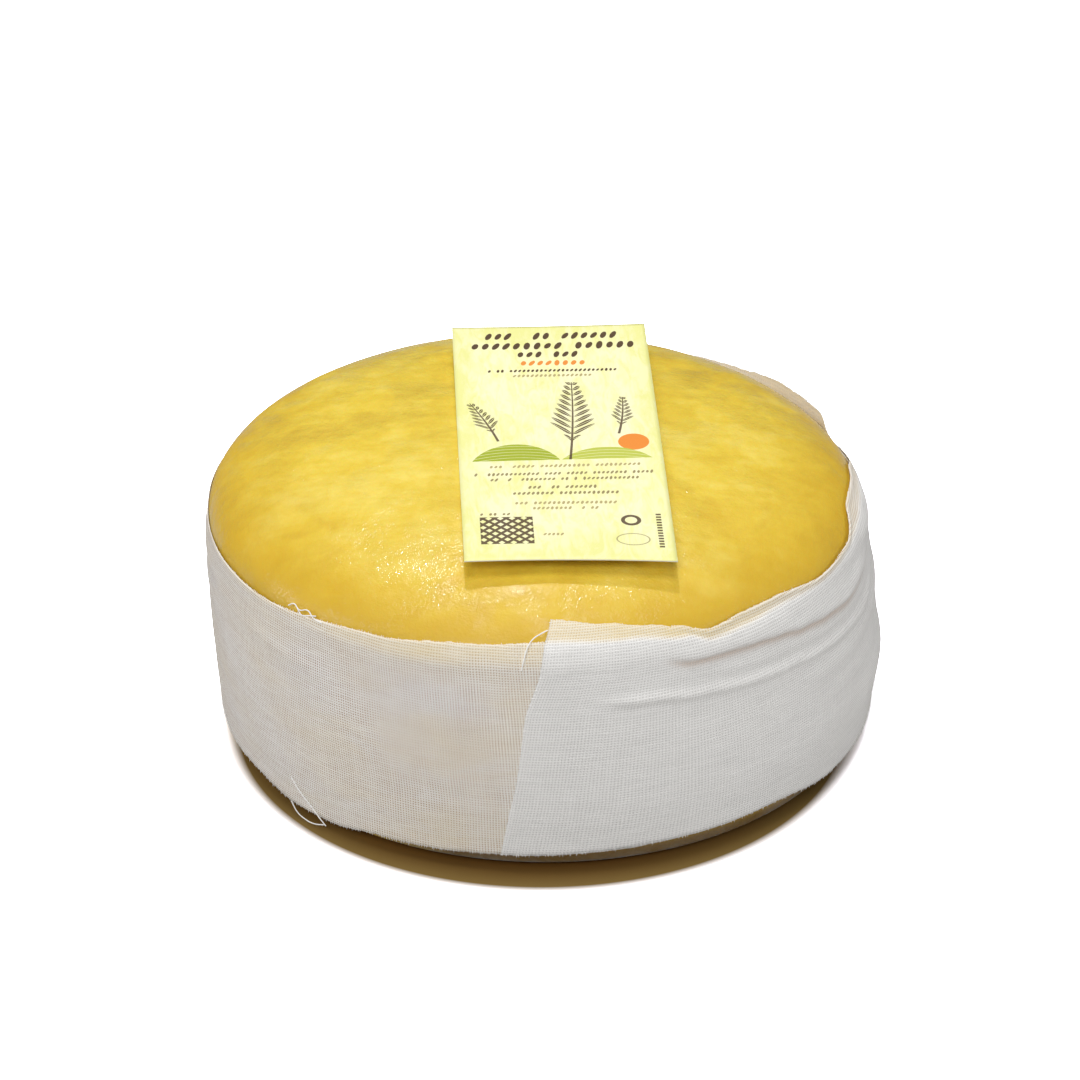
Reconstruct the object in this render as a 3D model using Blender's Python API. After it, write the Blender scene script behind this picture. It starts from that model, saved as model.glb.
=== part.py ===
"""Cured mixed milk cheese: a rinded wheel, the gauze band wound round its side and the label on top.

The frame is in metres with +Z up. The origin is the centre of the flat foot that the wheel stands on,
and -Y is the side where the free end of the band shows.
"""
import math

import bmesh
import bpy
from mathutils import Vector
from mathutils.geometry import interpolate_bezier

# The wheel
FOOT_RADIUS = 0.0680
SIDE_RADIUS = 0.0741
CROWN_RADIUS = 0.0470
WHEEL_HEIGHT = 0.0670
WHEEL_STEPS = 84

# Knots of its half section, from foot to crown: radius, height, heading, and how far the curve is pulled
# along that heading before and after the knot. Heading 0 runs outward, 90 degrees up and 180 inward.
SECTION_KNOTS = (
    (FOOT_RADIUS, 0.0, 0.0, 0.0, 0.0029),
    (0.0733, 0.0068, 83.0, 0.0038, 0.0057),
    (SIDE_RADIUS, 0.0210, 90.0, 0.0057, 0.0116),
    (0.0724, 0.0500, 95.0, 0.0116, 0.0075),
    (CROWN_RADIUS, 0.0638, 172.7, 0.0150, 0.0160),
    (0.0, WHEEL_HEIGHT, 180.0, 0.0155, 0.0))
SECTION_POINTS = (7, 4, 7, 13, 8)

# How the wheel has settled: its side leans to -X as it rises, and its top is higher at the back
LEAN = -0.075
LEAN_FROM = 0.018
TOP_TILT = 0.018
TILT_FROM = 0.030

# The gauze band, a strip wound once round the side and on beneath its own free end
BAND_THICKNESS = 0.0004
CLEARANCE = 0.0004
BAND_START = math.radians(-87.5)
BAND_OVERLAP = math.radians(112.0)
END_SLANT = math.radians(7.5)
SLANT_FADE = math.radians(40.0)
LAYER_STEP_LENGTH = math.radians(10.0)
HANG_HEIGHT = 0.0110
HANG_SLOPE = 0.05
BAND_STEPS = 110
BAND_ROWS = 14
ROW_CROWDING = 1.35
SLOPE_STEP = 0.0002

# The label, a card that lies on the crown and stands clear of the wheel at both ends
LABEL_WIDTH = 0.0445
LABEL_LENGTH = 0.1010
LABEL_THICKNESS = 0.0004
LABEL_CENTRE = (0.0029, -0.0036)
LABEL_TURN = math.radians(2.6)
LABEL_REST = 0.0676
LABEL_SLOPE = 0.050
LABEL_CURL = 0.0004
LABEL_DROOP = 0.0012
LABEL_CELLS = (8, 20)

MERGE_DISTANCE = 1e-6
SHARP_ANGLE = math.radians(40.0)


def clear_scene():
    """Remove every object that the scene starts with."""
    for old in list(bpy.data.objects):
        bpy.data.objects.remove(old, do_unlink=True)


def smooth_step(value):
    """Ease from 0 to 1 as the value goes from 0 to 1."""
    value = min(max(value, 0.0), 1.0)
    return value * value * (3.0 - 2.0 * value)


def make_material(name, colour, roughness):
    """Give back a Principled BSDF material of one colour."""
    material = bpy.data.materials.new(name)
    material.use_nodes = True
    shader = material.node_tree.nodes["Principled BSDF"]
    shader.inputs["Base Color"].default_value = (*colour, 1.0)
    shader.inputs["Roughness"].default_value = roughness
    shader.inputs["Metallic"].default_value = 0.0
    return material


def add_object(name, mesh_data, material):
    """Turn a bmesh into a named object with smooth shading."""
    mesh = bpy.data.meshes.new(name)
    mesh_data.to_mesh(mesh)
    mesh_data.free()
    mesh.materials.append(material)
    mesh.shade_smooth()
    mesh.set_sharp_from_angle(angle=SHARP_ANGLE)
    obj = bpy.data.objects.new(name, mesh)
    bpy.context.scene.collection.objects.link(obj)
    return obj


def curve_handle(radius, height, heading, pull):
    """A point of the section's plane at a pull from a knot along its heading."""
    angle = math.radians(heading)
    return Vector((radius + pull * math.cos(angle), height + pull * math.sin(angle), 0.0))


def wheel_section():
    """Half of the wheel's upright section, from the middle of the foot to the middle of the crown."""
    outline = [(0.0, 0.0)]
    for start, end, points in zip(SECTION_KNOTS, SECTION_KNOTS[1:], SECTION_POINTS):
        stretch = interpolate_bezier(
            curve_handle(*start[:3], 0.0), curve_handle(*start[:3], start[4]),
            curve_handle(*end[:3], -end[3]), curve_handle(*end[:3], 0.0), points)
        outline += [(place.x, place.y) for place in stretch[:-1]]
    return outline + [(0.0, WHEEL_HEIGHT)]


def section_radius(height, section):
    """Radius of the wheel's outside at a height above the foot."""
    for (r0, z0), (r1, z1) in zip(section[1:], section[2:]):
        if z0 <= height <= z1:
            return r0 + (r1 - r0) * (height - z0) / (z1 - z0)
    return section[1][0]


def settle(point):
    """Move a point of the upright wheel to where the leaning, tilted wheel has it."""
    x, y, z = point
    lean = LEAN * max(z - LEAN_FROM, 0.0)
    weight = smooth_step((z - TILT_FROM) / (WHEEL_HEIGHT - TILT_FROM))
    return Vector((x + lean, y, z + TOP_TILT * y * weight))


def make_cheese():
    """Turn the section about the upright axis and settle the wheel."""
    wheel = bmesh.new()
    ring = [wheel.verts.new((r, 0.0, z)) for r, z in wheel_section()]
    edges = [wheel.edges.new(pair) for pair in zip(ring, ring[1:])]
    bmesh.ops.spin(
        wheel, geom=ring + edges, cent=(0.0, 0.0, 0.0), axis=(0.0, 0.0, 1.0),
        angle=math.tau, steps=WHEEL_STEPS, use_merge=True, use_duplicate=False)
    bmesh.ops.remove_doubles(wheel, verts=wheel.verts, dist=MERGE_DISTANCE)
    for vert in wheel.verts:
        vert.co = settle(vert.co)
    bmesh.ops.recalc_face_normals(wheel, faces=wheel.faces)
    return add_object("cheese", wheel, make_material("rind", (0.80, 0.55, 0.08), 0.35))


# Heights of the band's edges along the strip: degrees round from the free end, then metres
TOP_EDGE = (
    (0, 0.0583), (14, 0.0566), (22, 0.0549), (30, 0.0540), (42, 0.0545), (56, 0.0528), (66, 0.0532),
    (77, 0.0562), (90, 0.0554), (104, 0.0525), (118, 0.0555), (136, 0.0560), (170, 0.0550),
    (225, 0.0545), (252, 0.0535), (272, 0.0500), (300, 0.0512), (330, 0.0535), (345, 0.0548),
    (360, 0.0556), (374, 0.0550), (384, 0.0535), (392, 0.0527), (402, 0.0534), (416, 0.0518),
    (440, 0.0532), (472, 0.0510))
LOW_EDGE = (
    (0, 0.0048), (24, 0.0060), (38, 0.0064), (54, 0.0044), (90, 0.0036), (180, 0.0044), (270, 0.0040),
    (298, 0.0038), (309, 0.0024), (318, 0.0024), (328, 0.0038), (360, 0.0050), (398, 0.0066),
    (414, 0.0048), (472, 0.0044))


def edge_height(degrees, knots):
    """Height of an edge of the band, eased between its knots."""
    for (a0, z0), (a1, z1) in zip(knots, knots[1:]):
        if degrees <= a1:
            return z0 + (z1 - z0) * smooth_step((degrees - a0) / (a1 - a0))
    return knots[-1][1]


def band_radius(height, section):
    """Radius of the wheel's side as the band feels it: below the side it hangs nearly straight."""
    if height >= HANG_HEIGHT:
        return section_radius(height, section)
    hanging = section_radius(HANG_HEIGHT, section) - HANG_SLOPE * (HANG_HEIGHT - height)
    return max(hanging, section_radius(height, section))


def layer_offset(angle):
    """How far the inner face of the band lies off the wheel, by the angle from its free end."""
    outer_layer = 1.0 - smooth_step((angle - BAND_OVERLAP - END_SLANT) / LAYER_STEP_LENGTH)
    return CLEARANCE + outer_layer * (BAND_THICKNESS + CLEARANCE)


def band_point(along, up, section):
    """Place of a point of the band's inner face: along the strip and up it, both from 0 to 1."""
    angle = along * (math.tau + BAND_OVERLAP)
    degrees = math.degrees(angle)
    low = edge_height(degrees, LOW_EDGE)
    crowded = 1.0 - (1.0 - up) ** ROW_CROWDING
    height = low + crowded * (edge_height(degrees, TOP_EDGE) - low)
    slant = (1.0 - crowded) * END_SLANT * (1.0 - smooth_step(angle / SLANT_FADE))
    turned = BAND_START + angle - slant
    radius = band_radius(height, section)
    slope = (band_radius(height + SLOPE_STEP, section) - radius) / SLOPE_STEP
    outward = layer_offset(angle) / math.hypot(1.0, slope)
    radius += outward
    return settle((radius * math.cos(turned), radius * math.sin(turned), height - outward * slope))


def make_band():
    """Wind a flat grid round the wheel and give it the thickness of the gauze."""
    section = wheel_section()
    strip = bmesh.new()
    bmesh.ops.create_grid(strip, x_segments=BAND_STEPS, y_segments=BAND_ROWS, size=0.5)
    for vert in strip.verts:
        vert.co = band_point(vert.co.x + 0.5, vert.co.y + 0.5, section)
    band = add_object("cloth_band", strip, make_material("gauze", (0.62, 0.60, 0.57), 0.90))
    wall = band.modifiers.new("Thickness", "SOLIDIFY")
    wall.thickness = BAND_THICKNESS
    wall.offset = 1.0
    return band


def label_point(across, along):
    """Place of a point of the label's underside: across and along it, both from -0.5 to 0.5."""
    side = across * LABEL_WIDTH
    run = along * LABEL_LENGTH
    x = LABEL_CENTRE[0] + side * math.cos(LABEL_TURN) - run * math.sin(LABEL_TURN)
    y = LABEL_CENTRE[1] + side * math.sin(LABEL_TURN) + run * math.cos(LABEL_TURN)
    rest = LABEL_REST + LABEL_SLOPE * y
    curl = LABEL_CURL * (2.0 * along) ** 2
    droop = LABEL_DROOP * max(across + 0.5, 0.0) ** 2 * max(-2.0 * along, 0.0) ** 2
    return Vector((x, y, rest + curl - droop))


def make_label():
    """Lay a flat grid on the crown and give it the thickness of the card."""
    card = bmesh.new()
    bmesh.ops.create_grid(card, x_segments=LABEL_CELLS[0], y_segments=LABEL_CELLS[1], size=0.5)
    for vert in card.verts:
        vert.co = label_point(vert.co.x, vert.co.y)
    label = add_object("label", card, make_material("label_card", (0.88, 0.85, 0.46), 0.55))
    wall = label.modifiers.new("Thickness", "SOLIDIFY")
    wall.thickness = LABEL_THICKNESS
    wall.offset = 1.0
    return label


def main():
    clear_scene()
    make_cheese()
    make_band()
    make_label()


main()
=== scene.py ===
"""Dresses a cured mixed milk cheese: the wheel's rind, the gauze band wound round its side with its frayed
thread ends, and the printed card on top. Lengths are in metres, +Z is up and -Y is the side where the free
end of the band shows."""
import math
import random

import bmesh
import bpy
import numpy as np
from bpy.props import FloatProperty, FloatVectorProperty, IntProperty, PointerProperty
from bpy.types import Operator, Panel, PropertyGroup
from mathutils import Matrix, Vector, noise
from mathutils.geometry import interpolate_bezier


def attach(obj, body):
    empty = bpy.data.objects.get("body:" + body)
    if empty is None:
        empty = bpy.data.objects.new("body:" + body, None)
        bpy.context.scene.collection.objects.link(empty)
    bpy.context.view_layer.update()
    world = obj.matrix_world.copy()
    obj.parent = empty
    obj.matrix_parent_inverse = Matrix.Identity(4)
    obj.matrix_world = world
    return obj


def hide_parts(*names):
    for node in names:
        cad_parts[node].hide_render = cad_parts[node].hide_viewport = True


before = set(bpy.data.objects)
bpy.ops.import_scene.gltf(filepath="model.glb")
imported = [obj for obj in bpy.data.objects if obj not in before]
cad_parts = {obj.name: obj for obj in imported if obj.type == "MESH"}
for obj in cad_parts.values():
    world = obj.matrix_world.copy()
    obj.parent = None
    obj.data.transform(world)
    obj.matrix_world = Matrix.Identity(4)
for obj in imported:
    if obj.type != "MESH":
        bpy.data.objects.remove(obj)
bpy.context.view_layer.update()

bl_info = {
    "name": "Banded Cheese Wheel",
    "version": (1, 0, 0),
    "blender": (4, 5, 0),
    "location": "3D View > Sidebar > Cheese",
    "description": "Models a banded cheese wheel with its gauze, thread ends and card",
    "category": "Object",
}

LENGTH = {"unit": "LENGTH", "precision": 5}
COLOUR = {"subtype": "COLOR", "min": 0.0, "max": 1.0}

WHEEL_HEIGHT = 0.0670

# The wheel's section, from foot to crown: heading in degrees (0 outward, 90 up, 180 inward) and how far the
# curve is pulled along it before and after each knot, with the points that each stretch gets
SHOULDER_KNOTS = ((0.0733, 0.0068), (0.0724, 0.0500))
WIDEST_HEIGHT = 0.0210
CROWN_EDGE_HEIGHT = 0.0638
KNOT_HEADINGS = (0.0, 83.0, 90.0, 95.0, 172.7, 180.0)
KNOT_PULLS = (
    (0.0, 0.0029), (0.0038, 0.0057), (0.0057, 0.0116), (0.0116, 0.0075), (0.0150, 0.0160), (0.0155, 0.0))
STRETCH_POINTS = (14, 9, 17, 46, 50)
FOOT_RINGS = (0.0, 0.3, 0.6, 0.85)   # shares of the foot's radius
MERGE_DISTANCE = 1e-6

# How the wheel has settled: its side leans to -X as it rises, and its top is higher at the back
LEAN = -0.075
LEAN_FROM = 0.018
TOP_TILT = 0.018
TILT_FROM = 0.030

# The rind's low relief: how fine each wave is, how strong, and where it is taken from. Above BARE_FROM no
# cloth has pressed it flat
RELIEF_WAVES = (
    (45.0, 0.50, (0.0, 0.0, 0.0)), (130.0, 0.32, (7.0, 3.0, 1.0)), (360.0, 0.20, (2.0, 9.0, 4.0)))
BARE_FROM = 0.0572
BARE_EASE = 0.006
PRESSED_RELIEF = 0.15
FOOT_EASE = 0.004

# Below this height the band hangs nearly straight
HANG_HEIGHT = 0.0110
HANG_SLOPE = 0.05
ROW_CROWDING = 1.35   # the strip's rows lie closer together towards its top edge
SLOPE_STEP = 0.0002

# Heights of the band's edges along the strip: degrees round from the free end, then metres
TOP_EDGE = (
    (0, 0.0586), (10, 0.0576), (18, 0.0565), (22, 0.0556), (28, 0.0537), (35, 0.0545), (42, 0.0545),
    (56, 0.0528), (66, 0.0532), (77, 0.0562), (90, 0.0554), (102, 0.0518), (108.5, 0.0503), (114.5, 0.0534),
    (120, 0.0537), (126, 0.0539), (131, 0.0536), (137, 0.0532), (170, 0.0531), (225, 0.0526), (252, 0.0515),
    (266, 0.0515), (278, 0.0508), (300, 0.0512), (330, 0.0535), (345, 0.0548), (360, 0.0556), (374, 0.0550),
    (384, 0.0535), (388, 0.0519), (394, 0.0523), (402, 0.0528), (416, 0.0518), (440, 0.0532), (472, 0.0510))
LOW_EDGE = (
    (0, 0.0048), (24, 0.0060), (38, 0.0064), (54, 0.0044), (90, 0.0036), (180, 0.0044), (270, 0.0040),
    (298, 0.0038), (309, 0.0024), (318, 0.0024), (328, 0.0038), (360, 0.0050), (398, 0.0066),
    (414, 0.0048), (472, 0.0044))

# How far back each height of the free end lies, as a share of the whole slant
FREE_END = (
    (0.0048, 1.0), (0.0204, 0.80), (0.0300, 0.645), (0.0399, 0.48), (0.0484, 0.23), (0.0553, 0.10),
    (0.0586, -0.04))
SLANT_FADE = 40.0
LAYER_STEP = 10.0
HALF_STEP = 0.0006   # half the height over which the outer layer comes down from the inner one's edge
CLOSED_END = 4.0     # along so many degrees the free end is pressed to the layer beneath it

# Past the side the cloth stands up free of the shoulder, above a height: from and to, degrees round from the
# free end, and how far it eases in and out. Behind that stretch the cloth lies snug
STANDING_EDGE = (107.5, 168.0)
STANDING_EASE = (6.0, 30.0)
STANDING_FROM = 0.0490
STANDING_SPAN = 0.0070
STANDING_RISE = 0.0052
STANDING_POWER = 1.7
SNUG_STRETCH = (168.0, 290.0)
SNUG_EASE = 10.0
SNUG_FROM = 0.0500
SNUG_SPAN = 0.0045
SNUG_SHARE = 0.60       # of the air under the cloth that goes towards the top edge
SNUG_BEHIND = 0.34      # more of it there
SNUG_DEEPER = 0.0040    # and from so much lower down

# Low waves of the cloth where it is free to swell: waves to a degree and to a metre, a seed, and their rise
SWELL_WAVE = (0.060, 70.0, 1.5)
SWELL_RISE = 0.00030
CREEP_WAVE = (0.16, 260.0, 8.5)
CREEP_RISE = 0.00005
SWELL_FROM = 0.006
SWELL_TO = 0.0575
SWELL_FADE = 12.0

# Where the rind touches the cloth from within, and shows through it
SHOULDER_FROM = 0.0485
TOUCH_WAVE = (0.07, 60.0, 21.0)
TOUCH_WEIGHT = 0.34
TOUCH_BESIDE_END = (0.90, 0.40)   # at the free end, and past 50 degrees
TOUCH_FADE = 25.0
TOUCH_BEYOND = 0.62

# The hem: how far below the top edge it starts, where it stands out more, and how much
HEM_DEPTH = 0.0012
HEM_SPAN = 0.0009
HEM_STRETCH = (18.0, 104.0)
HEM_EASE = 12.0
HEM_RISE = (0.00008, 0.00040)
RAGGED = 0.00022

# Creases and soft folds of the band. Each has a line (degrees round from the free end, height), how far the
# cloth stands out, and how far the rise reaches below and above the line
TUCKED_FOLD = (
    (19.0, 0.0500), (24.4, 0.0485), (31.0, 0.0483), (36.0, 0.0478), (41.5, 0.0469), (47.0, 0.0454),
    (54.0, 0.0442), (61.5, 0.0433), (69.0, 0.0440), (80.0, 0.0452))
RIDGE_FOLD = (
    (9.5, 0.0421), (17.6, 0.0415), (25.8, 0.0403), (35.0, 0.0392), (43.0, 0.0386), (49.0, 0.0376),
    (56.4, 0.0370), (67.0, 0.0368), (78.0, 0.0385))
SOFT_FOLDS = (
    (((24.0, 0.0445), (40.0, 0.0430), (56.0, 0.0410), (74.0, 0.0412)), 0.00035, 0.0012, 0.0016),
    (((44.0, 0.0330), (58.0, 0.0318), (72.0, 0.0330), (92.0, 0.0360)), 0.00040, 0.0020, 0.0030),
    (((62.0, 0.0180), (78.0, 0.0190), (88.0, 0.0185), (104.0, 0.0160)), 0.00070, 0.0050, 0.0040),
    (((52.0, 0.0260), (66.0, 0.0246), (80.0, 0.0255)), 0.00030, 0.0015, 0.0025),
    (((262.0, 0.0470), (280.0, 0.0440), (300.0, 0.0415), (322.0, 0.0400)), 0.00022, 0.0018, 0.0024),
    (((266.0, 0.0380), (284.0, 0.0360), (304.0, 0.0340)), 0.00018, 0.0016, 0.0022),
    (((100.0, 0.0450), (112.0, 0.0430), (128.0, 0.0440)), 0.00050, 0.0020, 0.0026),
    (((70.0, 0.0500), (82.0, 0.0490), (92.0, 0.0505)), 0.00045, 0.0012, 0.0018))
FOLD_FADE = 7.0
RIDGE_RISE = (0.0007, 0.0008, 0.0011)
TUCK_RISE = 0.0009
TUCK_EDGE = (0.0004, 0.0011)
TUCK_BULGE = (0.0010, 0.0034)
# The crease's painted shade: how it eases in at the ends, how far below the fold's line its middle lies, and
# its width
CREASE_EASE = (5.0, 26.0)
CREASE_MIDDLE = 0.0006
CREASE_WIDTH = 0.0009

# The fringe: the share of ends that have broken off, how far in an end is rooted and which way it points
MISSING_ENDS = 0.30
BAND_RADIUS = 0.0746
FRINGE_ROOT = 0.0003
FRINGE_REACH = 0.0012
RIM_THICKNESS = 0.35   # the cloth's cut edge, as a share of the whole thickness

# Loose threads on the band: degrees round from the free end, height and how far they stand off the rind
LOOSE_THREADS = {
    "curled_thread": (
        (359.7, 0.0571, 0.0009), (358.5, 0.0566, 0.0011), (357.3, 0.0560, 0.0012), (356.4, 0.0551, 0.0011),
        (355.8, 0.0539, 0.0010), (355.4, 0.0525, 0.0010), (354.9, 0.0505, 0.0009)),
    "stray_thread": (
        (309.4, 0.0096, 0.0009), (311.0, 0.0083, 0.0013), (312.6, 0.0068, 0.0014), (314.4, 0.0050, 0.0013),
        (316.0, 0.0030, 0.0012), (317.4, 0.0014, 0.0011)),
    "low_loop": (
        (309.0, 0.0030, 0.0010), (310.6, 0.0012, 0.0012), (312.6, 0.0007, 0.0014), (314.8, 0.0008, 0.0015),
        (317.0, 0.0016, 0.0013)),
    "top_loop": (
        (311.6, 0.0528, 0.0008), (313.0, 0.0536, 0.0011), (314.6, 0.0531, 0.0013), (316.2, 0.0536, 0.0011),
        (317.6, 0.0527, 0.0009), (319.4, 0.0524, 0.0008)),
    "top_hair": (
        (313.8, 0.0531, 0.0009), (315.2, 0.0524, 0.0012), (316.6, 0.0528, 0.0011), (318.0, 0.0532, 0.0008))}

# The card's printed rows from the top: middle height, left end, length, height, pitch of the marks and ink,
# in millimetres on the card, measured from its middle
HEAD_ROWS = (
    (45.8, -15.1, 30.9, 3.4, 2.20, "bark"), (41.2, -18.4, 36.8, 3.5, 2.37, "bark"),
    (37.2, -8.0, 15.2, 3.1, 2.05, "bark"), (33.2, -7.4, 14.4, 2.7, 1.90, "amber"),
    (29.7, -14.8, 29.6, 1.35, 0.98, "bark"), (27.4, -9.2, 18.4, 1.30, 1.00, "straw"))
FOOT_ROWS = (
    (-11.9, -15.8, 32.6, 1.35, 1.00, "straw"), (-15.1, -19.2, 39.0, 1.35, 0.95, "olive"),
    (-17.4, -15.8, 32.0, 1.35, 0.95, "olive"), (-20.8, -7.8, 15.4, 1.45, 1.00, "olive"),
    (-23.3, -11.2, 22.6, 1.45, 1.00, "olive"), (-27.4, -10.9, 21.8, 1.40, 1.00, "straw"),
    (-29.6, -7.2, 14.4, 1.40, 0.95, "straw"), (-31.9, -18.5, 7.0, 1.10, 0.95, "olive"),
    (-40.4, -5.4, 4.8, 1.15, 0.90, "straw"))
SIDE_MARKS = (19.4, -38.9, 0.55, 6.8, 1.05)
SPRIGS = (   # right limit, foot x, foot y, lean in degrees, length, spread, spacing
    (-7.5, -13.4, -1.0, 14.0, 17.5, 2.9, 1.7), (8.5, 2.0, -9.4, -6.0, 33.5, 5.2, 2.4),
    (22.5, 13.2, 1.0, -12.0, 16.0, 2.7, 1.6))
PRINT_BASELINE = -9.4
HILLS = ((-9.8, -15.5, 10.8, 13.0, "meadow"), (10.0, -16.0, 12.0, 11.5, "field"))
SUN = (16.2, -2.6, 3.4)
CHECKED_SQUARE = (-12.9, -38.6, 11.2, 11.0, 1.24)
RING = (13.5, -34.8, 2.15, 0.85)
PLATE = (13.5, -42.4, 3.6, 2.4, 0.30)
ZONE_LIMITS = (25.5, -10.5)   # the head, the pictures and the foot of the card meet here
CARD_SPAN = 102.0
ROW_SPAN = 50.0
MARK_SPAN = 5.0
LEAF_SPAN = 10.0

# The card on the crown: its middle, its slope towards the back, its curl and the droop of its free corner
LABEL_CENTRE = (0.0029, -0.0036)
LABEL_SLOPE = 0.050
LABEL_CURL = 0.0004
LABEL_DROOP = 0.0012
LABEL_WARP = 0.00012
LABEL_TWIST = 0.0002
LABEL_CELLS = (44, 101)

# Finishes
PALEST = 0.95
THREAD_SHARE = 0.56
LIT_COTTON = (0.90, 0.89, 0.87)
# Colour of the painted shade in the tucked crease
CREASE_SHADE_COLOUR = (0.60, 0.44, 0.33)

# The floor's painted shadow in front of the foot, by the distance from a point under the wheel, and the
# floor beyond
PAINTED_SHADOW_MIDDLE = (-0.001, -0.010, 0.0)
PAINTED_SHADOW_DEEP = (0.0585, 0.0680)
PAINTED_SHADOW_EDGE = (0.0684, 0.0735)
PAINTED_SHADOW_COLOURS = ((0.125, 0.050, 0.0085), (0.215, 0.140, 0.045))
FLOOR_SEEN = (3.6, 3.6, 3.8)

# Lights of the stage: place, size and the setting that holds the power
LIGHTS = {
    "top_light": ((-0.02, -0.15, 1.08), (0.54, 0.46), "key"),
    "front_light": ((-0.35, -1.05, 1.00), (1.0, 0.5), "fill"),
    "left_light": ((-1.22, -0.30, 0.42), (0.5, 0.5), "left"),
    "right_light": ((1.22, -0.45, 0.42), (0.5, 0.5), "right"),
    "back_light": ((-0.045, 0.50, 1.05), (0.05, 0.05), "glint")}
LIGHT_AIM = Vector((0.0, 0.0, 0.03))


def smooth_step(value):
    """Ease from 0 to 1 as the value goes from 0 to 1."""
    value = min(max(value, 0.0), 1.0)
    return value * value * (3.0 - 2.0 * value)


def stretch_share(degrees, first, last, ease_in, ease_out):
    """1 between two angles round the band, eased to 0 at both."""
    return smooth_step((degrees - first) / ease_in) * smooth_step((last - degrees) / ease_out)


def wave(degrees, height, along, up, seed):
    """Smooth noise over the cloth, from about -1 to 1."""
    return noise.noise(Vector((degrees * along, height * up, seed)))


def eased_height(degrees, knots):
    """Height of a line at an angle round the band, eased between its knots."""
    for (a0, z0), (a1, z1) in zip(knots, knots[1:]):
        if degrees <= a1:
            return z0 + (z1 - z0) * smooth_step((degrees - a0) / (a1 - a0))
    return knots[-1][1]


def settle(point):
    """Move a point of the upright wheel to where the leaning, tilted wheel has it."""
    x, y, z = point
    lean = LEAN * max(z - LEAN_FROM, 0.0)
    weight = smooth_step((z - TILT_FROM) / (WHEEL_HEIGHT - TILT_FROM))
    return Vector((x + lean, y, z + TOP_TILT * y * weight))


class CheeseSettings(PropertyGroup):
    """Sizes and colours of the rinded wheel."""
    height: FloatProperty(
        name="Height", description="Height at the middle of the crown", default=WHEEL_HEIGHT, **LENGTH)
    foot_radius: FloatProperty(
        name="Foot Radius", description="Radius of the flat foot", default=0.0680, **LENGTH)
    side_radius: FloatProperty(
        name="Side Radius", description="Radius where the wheel is widest", default=0.0741, **LENGTH)
    crown_radius: FloatProperty(
        name="Crown Radius", description="Radius where the shoulder meets the crown", default=0.0470,
        **LENGTH)
    steps: IntProperty(
        name="Steps", description="Steps of the wheel's full turn", default=420, min=24, max=460)
    relief: FloatProperty(
        name="Relief", description="How far the rind's hollows and swells reach", default=0.00028, **LENGTH)
    colour: FloatVectorProperty(
        name="Rind", description="Colour of most of the rind", default=(0.80, 0.585, 0.055), **COLOUR)
    pale_colour: FloatVectorProperty(
        name="Pale Patches", description="Colour of the rind's paler patches", default=(0.85, 0.665, 0.115),
        **COLOUR)
    # Deeper patches of the rind use this colour, and round the shoulder it is also painted shade
    deep_and_shoulder_shade_colour: FloatVectorProperty(
        name="Shoulder", description="Deeper colour round the shoulder", default=(0.635, 0.395, 0.028),
        **COLOUR)
    # Painted shade: the foot's dark colour stands in for the shade under the wheel's overhang
    foot_shade_colour: FloatVectorProperty(
        name="Foot", description="Dark, damp colour where the wheel has stood",
        default=(0.115, 0.058, 0.014), **COLOUR)
    roughness: FloatProperty(
        name="Roughness", description="Middle roughness of the oiled rind", default=0.50, min=0.0, max=1.0)


class BandSettings(PropertyGroup):
    """Sizes and colours of the gauze band and its threads."""
    thickness: FloatProperty(
        name="Thickness", description="Thickness of the gauze", default=0.00022, **LENGTH)
    clearance: FloatProperty(name="Clearance", description="Air under the gauze", default=0.00030, **LENGTH)
    start: FloatProperty(
        name="Free End", description="Direction of the free end", default=math.radians(-87.0),
        subtype="ANGLE")
    overlap: FloatProperty(
        name="Overlap", description="How far the strip runs on beneath its free end",
        default=math.radians(112.0), subtype="ANGLE")
    end_slant: FloatProperty(
        name="End Slant", description="How far the free end leans back from foot to top",
        default=math.radians(10.4), subtype="ANGLE")
    thread_pitch: FloatProperty(
        name="Thread Pitch", description="From one thread of the weave to the next", default=0.00060,
        **LENGTH)
    thread_width: FloatProperty(
        name="Thread Width", description="Thickness of a loose thread", default=0.00026, **LENGTH)
    steps: IntProperty(name="Steps", description="Steps along the strip", default=640, min=60, max=900)
    rows: IntProperty(name="Rows", description="Rows up the strip", default=74, min=10, max=80)
    thread_colour: FloatVectorProperty(
        name="Thread", description="Colour of the cotton", default=(0.835, 0.822, 0.80), **COLOUR)
    # Painted shade: the rind between the threads is drawn as it looks in shade under the cloth
    shaded_hole_colour: FloatVectorProperty(
        name="Between Threads", description="What shows between the threads of a single layer",
        default=(0.35, 0.19, 0.125), **COLOUR)
    # Painted shade: the inner layer between the threads is drawn darker, as in shade under the outer one
    shaded_double_hole_colour: FloatVectorProperty(
        name="Between Doubled Threads", description="What shows between the threads of two layers",
        default=(0.585, 0.57, 0.55), **COLOUR)
    glow_colour: FloatVectorProperty(
        name="Rind Through Cloth", description="Tint where the rind touches the cloth",
        default=(0.78, 0.60, 0.24), **COLOUR)


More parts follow.
